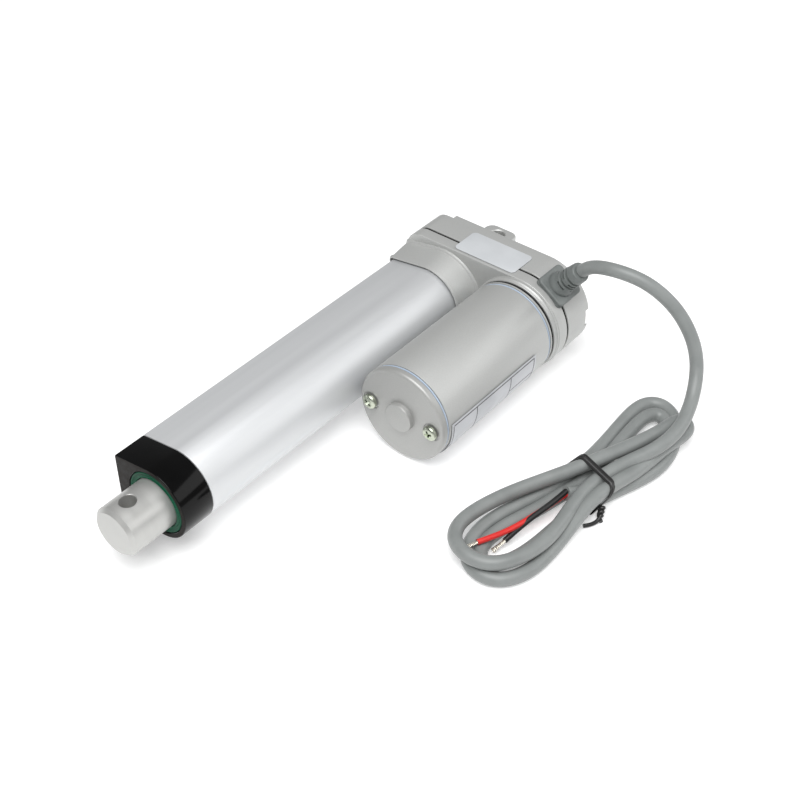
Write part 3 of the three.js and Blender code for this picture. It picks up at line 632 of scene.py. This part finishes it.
def tube_outline(offset, corner_round=1.0):
    """Round towards the motor, then straight lines to the corners of the flat side."""
    r = TUBE_R + offset
    flat = -TUBE_FLAT - offset
    corner = TUBE_CORNER + offset
    touch = math.atan2(corner, flat) - math.acos(r / math.hypot(flat, corner))
    side = (r * math.cos(touch), r * math.sin(touch))
    upper = fillet(side, (flat, corner), (flat, 0), corner_round)
    lower = [(y, -z) for y, z in reversed(upper)]
    points = arc(0, 0, r, -touch, touch, 72) + upper + lower
    return [(SPINDLE[0] + y, SPINDLE[1] + z) for y, z in points]


def housing_outline(offset):
    """Two rounded corners beside the tube and one half circle round the motor."""
    r = HOUSING_R + offset
    c = HOUSING_CORNER + offset
    inner = -HOUSING_FLAT + HOUSING_CORNER
    points = arc(MOTOR[0] - SPINDLE[0], 0, r, -QUARTER, QUARTER, 72)
    points += arc(inner, r - c, c, QUARTER, 2 * QUARTER, 12)
    points += arc(inner, c - r, c, 2 * QUARTER, 3 * QUARTER, 12)
    return [(SPINDLE[0] + y, SPINDLE[1] + z) for y, z in points]


def rounded(first, second, corner, offset):
    """A rectangle between two (low, high) pairs, with rounded corners."""
    inner = [(low + corner, high - corner) for low, high in (first, second)]
    points = []
    for turn, (i, j) in enumerate(((1, 1), (0, 1), (0, 0), (1, 0))):
        points += arc(inner[0][i], inner[1][j], corner + offset, turn * QUARTER, (turn + 1) * QUARTER, 8)
    return points


# ---- rod, tube and nose --------------------------------------------------------------------------
def add_rod():
    """The extension rod: chamfered tip and a countersunk cross hole."""
    start, tip = ROD_X
    profile = [(start, ROD_BORE_R), (start, ROD_R), (tip - ROD_CHAMFER, ROD_R), (tip, ROD_R - ROD_CHAMFER),
               (tip, 0), (ROD_BORE_END, 0), (ROD_BORE_END, ROD_BORE_R)]
    rod = turned(profile, SPINDLE, 128)
    sunk = CROSS_HOLE_R + 2.4
    hole = cross_bore(CROSS_HOLE_X, [(-12, sunk), (-9.6, CROSS_HOLE_R), (9.6, CROSS_HOLE_R), (12, sunk)])
    pin_x = ends("nut_pin_1", X)[0] + 1
    pin_hole = pillar(pin_x, SPINDLE[0], SPINDLE[1] - 14, SPINDLE[1] + 14, CROSS_PIN_R)
    piece("rod", cut(rod, hole, pin_hole), "rod", "rod", nodes=["extension_rod"])


def add_tube():
    outer = [(x, offset) for x, offset in eased(*TUBE_X, 0.25, 0.25, 3)]
    rings = [[(x, y, z) for y, z in tube_outline(offset)] for x, offset in outer]
    rings += [[(x, y, z) for y, z in tube_outline(-TUBE_WALL, 0.4)] for x in reversed(TUBE_X)]
    piece("tube", stitched(rings, closed=True), "anodised", nodes=["outer_tube"])


def plug_outline(offset):
    """The part of the cap that sits inside the tube."""
    return tube_outline(offset - TUBE_WALL - GAP, 0.4)


def add_front_cap():
    """The nose cap: glossy sides, a matte face and the seal's seat."""
    back, face = CAP_X
    head = prism(tube_outline, eased(back, face, 0.2, 0.35, 4))
    plug = prism(plug_outline, eased(back - 9, back + 1, 0.5, 0))
    floor = face - SEAL_SEAT_DEPTH
    seat = turned([(floor, 0), (floor, SEAL_SEAT_R), (face - 0.2, SEAL_SEAT_R),
                   (face + 1, SEAL_SEAT_R + 1.2), (face + 1, 0)], SPINDLE)
    bush_seat = disc(face - BUSH_SEAT[1], face - BUSH_SEAT[0], BUSH_SEAT_R, SPINDLE, 0, 0)
    bore = disc(face - 12, face + 1, ROD_R + 0.6, SPINDLE, 0, 0)
    cap = cut(join(head, plug), seat, bush_seat, bore)
    piece("nose_cap", cap, "black_plastic", nodes=["front_cap"])
    cap.data.materials.append(LOOKS["cap_face"])
    for polygon in cap.data.polygons:
        if polygon.normal.x > 0.9 and polygon.center.x > (face - 1) * MM:
            polygon.material_index = 1


def add_wiper():
    """The wiper seal, almost flush with the cap's face, with a moulded lip round the rod."""
    back = ends("wiper_seal", X)[0]
    front = CAP_X[1] - 0.1
    profile = [(back, 10.9), (back, 12.7), (front - 0.25, 12.7), (front - 0.05, 12.55), (front, 12.3),
               (front - 0.15, 12.0), (front - 0.5, 11.6), (front - 0.6, 11.2), (front - 0.45, 10.8),
               (front - 0.2, 10.5), (front - 0.3, 10.35), (front - 1.5, 10.35)]
    piece("wiper_ring", turned(profile, SPINDLE, 128), "seal_green", nodes=["wiper_seal"])


# ---- gearbox -------------------------------------------------------------------------------------
HOUSING_SCREWS = [(SPINDLE[0] - 15.4, SPINDLE[1] + 16.3), (SPINDLE[0] - 15.4, SPINDLE[1] - 16.3),
                  (MOTOR[0] + 16.5, MOTOR[1])]


def neck():
    """The neck round the tube, widening towards the flange, with a bead at its root and one at its front."""
    rings = []
    root, front = NECK_X
    stations = [(root - 1, 0.35), (root + 0.45, 0.35), (root + 0.7, 0.2), (root + 1, -0.2),
                (front - 1.6, -0.1), (front - 1.3, 0.2), (front - 0.3, 0.2), (front, -0.1)]
    for x, offset in stations:
        t = (front - x) / (front - root)
        ring = []
        for y, z in tube_outline(1.1 + offset, 1.4):
            across = y - SPINDLE[0]
            across = across * (1 + 0.185 * t) if across > 0 else max(across, 0.05 - HOUSING_FLAT)
            ring.append((x, SPINDLE[0] + across, SPINDLE[1] + (z - SPINDLE[1]) * (1 + 0.172 * t)))
        rings.append(ring)
    return stitched(rings)


def room(x0, x1):
    """The gears' room inside the gearbox."""
    idler = (middle("idler_gear", Y), middle("idler_gear", Z))
    return [disc(x0, x1, r, axis, 0, 0) for axis, r in ((SPINDLE, 16.2), (idler, 15.9), (MOTOR, 12))]


def add_front_housing():
    seam = ends("gearbox_front_housing", X)[0]
    flange = prism(housing_outline, eased(seam, NECK_X[0], 0.25, 0.4, 6))
    steps = [(NECK_X[0] - 1, 0), (NECK_X[0] - 1, COLLAR_R), (NECK_X[0] + 0.7, COLLAR_R)]
    for ridge in range(3):
        x = NECK_X[0] + 0.8 + 0.7 * ridge
        steps += [(x, COLLAR_R - 0.25), (x + 0.15, COLLAR_R - 0.25), (x + 0.25, COLLAR_R - 0.02 * ridge)]
    steps += [(MOTOR_SEAT - 0.25, COLLAR_R - 0.05), (MOTOR_SEAT, COLLAR_R - 0.3), (MOTOR_SEAT, 0)]
    body = join(flange, turned(steps, MOTOR, 128), neck())
    socket_x = TUBE_X[0] - GAP
    mouth = NECK_X[1]
    socket = prism(tube_outline, [(socket_x, GAP), (mouth - 2.2, GAP), (mouth - 2, GAP + 0.3),
                                  (mouth - 0.3, GAP + 0.3), (mouth + 1, GAP + 1.2)])
    cover_room = disc(MOTOR_SEAT, NECK_X[1] + 5, MOTOR_R + 0.5, MOTOR, 0, 0, 128)
    back = NECK_X[0] - 3
    bearing_seat = disc(back, socket_x + 1, BEARING_SEAT_R, SPINDLE, 0, 0)
    shaft_hole = disc(back, MOTOR_SEAT + 1, MOTOR_SHAFT_HOLE_R, MOTOR, 0, 0)
    body = cut(body, cover_room, socket, bearing_seat, shaft_hole, *room(seam - 1, NECK_X[0] - 2))
    piece("front_housing", body, "paint", nodes=["gearbox_front_housing"])


def eye_outline(offset):
    """The mounting eye seen from above: square where it meets the pad, rounded at its end."""
    side = EYE_HALF_WIDTH + offset
    corner = EYE_CORNER + offset
    left = EYE_END - offset + corner
    points = [(PAD_X[0] + 1, SPINDLE[0] - side), (PAD_X[0] + 1, SPINDLE[0] + side)]
    points += arc(left, SPINDLE[0] + side - corner, corner, QUARTER, 2 * QUARTER, 12)
    points += arc(left, SPINDLE[0] - side + corner, corner, 2 * QUARTER, 3 * QUARTER, 12)
    return points


def add_rear_housing():
    """The rear half with its raised pad, the pockets of the screws and the eye."""
    seam = ends("gearbox_gasket", X)[0] - GAP
    half = prism(housing_outline, eased(PAD_X[1], seam, 0.6, 0.25))
    pad = prism(housing_outline, eased(PAD_X[0], PAD_X[1] + 2, 0.9, 0))
    for place, r in zip(HOUSING_SCREWS, (7, 7, 5.6)):
        pad = cut(pad, disc(PAD_X[0] - 2, PAD_X[1], r, place, 0, 0))
    level = SPINDLE[1]
    eye = upright(eye_outline, eased(level - EYE_HALF_HEIGHT, level + EYE_HALF_HEIGHT, 0.7, 0.7))
    body = join(half, pad, eye)
    sunk = CROSS_HOLE_R + 2.5
    hole = cross_bore(EYE_HOLE, [(-9, sunk), (-6.6, CROSS_HOLE_R), (6.6, CROSS_HOLE_R), (9, sunk)])
    bores = [disc(PAD_X[0] - 5, seam + 1, SCREW_HOLE_R, place, 0, 0, 32) for place in HOUSING_SCREWS]
    body = cut(body, hole, *bores, *room(PAD_X[1] + 1.6, seam + 1))
    piece("rear_housing", body, "paint", nodes=["gearbox_rear_housing"])


def gasket_outline(offset):
    return housing_outline(offset - 0.3)


def add_gasket():
    back, front = ends("gearbox_gasket", X)
    gasket = cut(prism(gasket_outline, [(back, 0), (front, 0)]), *room(back - 1, front + 1))
    piece("seam_gasket", gasket, "gasket_black", nodes=["gearbox_gasket"])


def screw_head(x0, x1, r, axis, facing, spin=0.0):
    """A domed pan head with a cross recess; facing is +1 where its top looks along +X."""
    height = x1 - x0
    seat, top = (x0, x1) if facing > 0 else (x1, x0)
    profile = [(seat, 0), (seat, r - 0.15), (seat + facing * 0.15, r)]
    for i in range(9):
        a = QUARTER * i / 8
        profile.append((seat + facing * height * (0.45 + 0.55 * math.sin(a)), r * (0.5 + 0.5 * math.cos(a))))
    profile.append((top, 0))
    head = turned(profile, axis, 48)
    wide = r * 0.62
    slots = []
    for turn in (spin, spin + QUARTER):
        rings = []
        for depth, reach, thick in ((0.35, wide, 0.48), (-height * 0.75, wide * 0.35, 0.3)):
            ring = []
            for u, v in ((-reach, -thick), (reach, -thick), (reach, thick), (-reach, thick)):
                y = axis[0] + u * math.cos(turn) - v * math.sin(turn)
                z = axis[1] + u * math.sin(turn) + v * math.cos(turn)
                ring.append((top + facing * depth, y, z))
            rings.append(ring)
        slots.append(stitched(rings))
    return cut(head, *slots)


def add_screws():
    for i, place in enumerate(HOUSING_SCREWS):
        node = f"housing_screw_{i + 1}"
        x0, x1 = ends(node, X)
        head = screw_head(x0, x0 + SCREW_HEAD, HOUSING_HEAD_R, place, -1, 0.4 + i)
        shank = disc(x0 + SCREW_HEAD - 0.4, x1, SCREW_SHANK_R, place, 0.1, 0.3, 32)
        piece(f"housing_bolt_{i + 1}", join(head, shank), "zinc", nodes=[node])
    for i, offset in enumerate((-TIE_OFFSET, TIE_OFFSET)):
        node = f"tie_screw_{i + 1}"
        x0, x1 = ends(node, X)
        place = (MOTOR[0] + offset, MOTOR[1])
        head = screw_head(x1 - SCREW_HEAD, x1, TIE_HEAD_R, place, 1, 0.9 - 0.5 * i)
        shank = disc(x0, x1 - SCREW_HEAD + 0.4, SCREW_SHANK_R, place, 0.3, 0.1, 32)
        piece(f"tie_bolt_{i + 1}", join(head, shank), "zinc", nodes=[node])


# ---- motor ---------------------------------------------------------------------------------------
def add_motor_rings():
    """Gaskets and the mounting ring, in their order along the motor. The seat's gasket swells a little."""
    rings = [("end_cap_gasket", "gasket_blue", 1.2, 0), ("cover_rear_gasket", "gasket_blue", 1.2, 0),
             ("motor_mount_ring", "paint", 2.2, 0), ("motor_seat_gasket", "gasket_black", 1.6, 0.2)]
    for node, look, thick, swell in rings:
        low, high = ends(node, X)
        outer = ends(node, Z)[1] - MOTOR[1]
        made = hoop(low - swell, high + swell, outer - thick, outer + swell, MOTOR, 0.12, 160)
        piece(f"{node}_ring", made, look, nodes=[node])


def add_motor_cover():
    cover = hoop(*ends("motor_cover", X), MOTOR_R - COVER_WALL, MOTOR_R, MOTOR, 0.3, 160)
    piece("motor_shell", cover, "paint", nodes=["motor_cover"])


def add_motor_lid():
    """The end cap: a rounded rim, a round boss, a lip inside the cover and the screws' seats."""
    face = ends("motor_end_cap", X)[1] - BOSS_HEIGHT
    inner = face - LID_DEPTH
    profile = [(inner, 0), (inner, MOTOR_R - 0.15), (inner + 0.15, MOTOR_R)]
    profile += [(x, MOTOR_R + offset) for x, offset in eased(inner, face, 0, 1.4, 8)[10:]]
    profile += [(face, 0)]
    lid = turned(profile, MOTOR, 160)
    boss = disc(face - 1, face + BOSS_HEIGHT, BOSS_R, MOTOR, 0, 0.5, 96)
    lip = hoop(inner - 3, inner + 1, MOTOR_R - 3.4, MOTOR_R - 1.8, MOTOR)
    lid = join(lid, boss, lip)
    for offset in (-TIE_OFFSET, TIE_OFFSET):
        place = (MOTOR[0] + offset, MOTOR[1])
        sink = turned([(face - 0.35, 0), (face - 0.35, 3.6), (face + 1, 4.3), (face + 1, 0)], place, 48)
        lid = cut(lid, disc(inner - 5, face + 3, SCREW_HOLE_R, place, 0, 0, 32), sink)
    # The lid wears the darker copy of the silver paint, which is painted shade.
    piece("motor_lid", lid, "lid_painted_shade", nodes=["motor_end_cap"])


# ---- labels --------------------------------------------------------------------------------------
def add_seal_label():
    """The blank seal across the gearbox's seam."""
    low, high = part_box("seal_label")
    x0, x1, y0, y1 = (value / MM for value in (low[X], high[X], low[Y], high[Y]))

    def outline(offset):
        return rounded((x0, x1), (y0, y1), 2, offset)

    film = upright(outline, eased(low[Z] / MM, high[Z] / MM, 0, 0.08, 3))
    piece("seal_film", film, "label", nodes=["seal_label"])


def around_motor(x0, x1, a0, a1, r0, r1):
    """A thin sheet wrapped on the motor, between two angles from +Y towards +Z."""
    steps = max(2, int(abs(a1 - a0) / 0.03))
    rings = []
    for i in range(steps + 1):
        a = a0 + (a1 - a0) * i / steps
        corner = [(x0, r0), (x1, r0), (x1, r1), (x0, r1)]
        rings.append([(x, MOTOR[0] + r * math.cos(a), MOTOR[1] + r * math.sin(a)) for x, r in corner])
    return stitched(rings)


def add_rating_label():
    """The rating plate, blank apart from a printed frame and its dividing lines."""
    x0, x1 = ends("rating_label", X)
    a0, a1 = RATING_TURN
    r = MOTOR_R + GAP
    film = r + 0.2
    plate = around_motor(x0, x1, a0, a1, r, film)
    piece("rating_plate", plate, "plate_film", nodes=["rating_label"])
    left, right = x0 + 1.2, x1 - 1.2
    low, high = a0 + 0.06, a1 - 0.06
    fields = [left + (right - left) * share for share in (0.3, 0.72)]
    rows = [low + (high - low) * share for share in (0.34, 0.67)]
    line = 0.45
    turn = line / r
    lines = [(left, right, a, a + turn) for a in (low, high)]
    lines += [(x, x + line, low, high) for x in (left, right, *fields)]
    lines += [(left, fields[0], rows[1], rows[1] + turn), (*fields, rows[0], rows[0] + turn)]
    for i, (xa, xb, aa, ab) in enumerate(lines):
        ink = around_motor(xa, xb, aa, ab, film, film + 0.03)
        piece(f"rating_line_{i + 1}", ink, "print")


# ---- cable gland ---------------------------------------------------------------------------------
def along_gland(body, lean=0.0):
    """Stands a body made along X on the gland's normal through the motor's axis, leaning at the plate."""
    normal = Vector((0, math.sin(GLAND_TILT), math.cos(GLAND_TILT)))
    down = Vector((0, math.cos(GLAND_TILT), -math.sin(GLAND_TILT)))
    turn = Matrix((normal, Vector((1, 0, 0)), down)).transposed().to_4x4()
    face = Matrix.Translation((GLAND_FACE, 0, 0))
    tip = face @ Matrix.Rotation(-lean, 4, "Y") @ face.inverted()
    body.data.transform(Matrix.Translation((GLAND_X, *MOTOR)) @ turn @ tip)
    return body


def plate_outline(offset):
    half_y, half_z = GLAND_PLATE
    return rounded((-half_y, half_y), (-half_z, half_z), GLAND_CORNER, offset)


def boot_profile(base, end):
    """A flare at the plate, then three ribs that get thinner towards the cable."""
    profile = [(17, 0), (17, 3.1), (base - 1, 3.1), (base - 1, 5.6), (base + 0.8, 5.55), (base + 1.6, 5.3),
               (base + 2.4, 4.85)]
    profile += [(base + x, r) for x, r in ((2.9, 4.7), (4.8, 4.65), (5, 4.5), (5.15, 3.6))]
    profile += [(base + x, r) for x, r in ((6.05, 3.6), (6.2, 4.4), (6.4, 4.5), (8.2, 4.4), (8.4, 4.25))]
    profile += [(base + x, r) for x, r in ((8.55, 3.4), (9.45, 3.4), (9.6, 4.15), (9.8, 4.3))]
    return profile + [(end - 0.9, 4.15), (end - 0.4, 4.0), (end - 0.1, 3.7), (end, 3.3), (end, 0)]


def add_gland():
    """A rounded square plate on the housing and a ribbed boot with staggered slots."""
    groove = [(18.6, 0), (21.0, 0), (21.1, -0.3), (21.5, -0.3), (21.6, 0)]
    rim = eased(21.7, GLAND_FACE, 0, 0.6, 5)[6:]
    plate = along_gland(prism(plate_outline, groove + rim))
    plate = cut(plate, disc(REAR_X[0], NECK_X[0] + 5, HOUSING_R + 0.05, MOTOR, 0, 0, 200))
    base = GLAND_FACE
    boot = turned(boot_profile(base, base + BOOT_LENGTH), (0, 0), 64)
    slots = []
    for row, x in enumerate((base + 3.3, base + 6.85)):
        for side in range(4):
            turn = QUARTER * (side + 0.5 * row)
            slot = block(x, x + 1.0, -2, 2, 3.6, 6)
            slot.data.transform(Matrix.Rotation(turn, 4, "X"))
            slots.append(slot)
    boot = along_gland(cut(boot, *slots), BOOT_LEAN)
    piece("gland_plate", join(plate, boot), "gland", nodes=["cable_gland"])


# ---- pieces that stay as the CAD made them -------------------------------------------------------
KEPT = {
    "polymer": ["drive_nut", "spindle_gear", "idler_gear", "guide_bushing"],
    "steel": ["nut_pin_1", "nut_pin_2", "lead_screw", "gear_nut", "motor_shaft", "spindle_bearing",
              "thrust_bearing", "idler_pin", "motor_can"],
    "magnet": ["armature_core", "motor_magnet_1", "motor_magnet_2", "motor_brush_1", "motor_brush_2"],
    "copper": ["armature_winding", "commutator"],
    "brass": ["motor_pinion", "motor_front_bush"],
    "board": ["switch_board"],
    "gasket_black": ["limit_switch_front", "limit_switch_rear", "motor_end_bell"],
    "zinc": ["motor_screw_1", "motor_screw_2"],
}


def dress_kept_nodes():
    for look, nodes in KEPT.items():
        for node in nodes:
            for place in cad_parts[node].material_slots:
                place.material = LOOKS[look]


# ---- floor and light -----------------------------------------------------------------------------
def add_light(name, place, width, height, power):
    """A softbox that faces the object."""
    data = bpy.data.lights.new(name, "AREA")
    data.shape = "RECTANGLE"
    data.size = width
    data.size_y = height
    data.energy = power
    light = bpy.data.objects.new(name, data)
    light.location = place
    light.rotation_euler = (-Vector(place)).to_track_quat("-Z", "Y").to_euler()
    bpy.context.scene.collection.objects.link(light)


def add_stage():
    floor = draft([(-3000, -3000, 0), (3000, -3000, 0), (3000, 3000, 0), (-3000, 3000, 0)], [(0, 1, 2, 3)])
    floor.name = "floor"
    floor.data.transform(Matrix.Scale(MM, 4))
    pale = finish("floor", (0.80, 0.80, 0.80), (0.82, 0.82, 0.82), (0.6, 0.7), (3, 3, 3),
                  (200, 200, 200), 0.01)
    floor.data.materials.append(pale)
    glow = pale.node_tree.nodes["Principled BSDF"]
    glow.inputs["Emission Color"].default_value = (1, 1, 1, 1)
    glow.inputs["Emission Strength"].default_value = 0.3
    world = bpy.data.worlds.new("studio")
    world.use_nodes = True
    world.node_tree.nodes["Background"].inputs["Color"].default_value = (0.98, 0.99, 1, 1)
    world.node_tree.nodes["Background"].inputs["Strength"].default_value = 0.22
    bpy.context.scene.world = world
    add_light("key", (0.5, 0.25, 1.3), 1.2, 1.2, 26)
    add_light("rear_softbox", (-0.69, 0.73, 0.6), 1.5, 0.6, 4.4)
    bpy.context.scene.view_settings.view_transform = "Standard"


add_camera()
add_cable()
add_rod()
add_tube()
add_front_cap()
add_wiper()
add_front_housing()
add_rear_housing()
add_gasket()
add_screws()
add_motor_cover()
add_motor_rings()
add_motor_lid()
add_seal_label()
add_rating_label()
add_gland()
dress_kept_nodes()
add_stage()
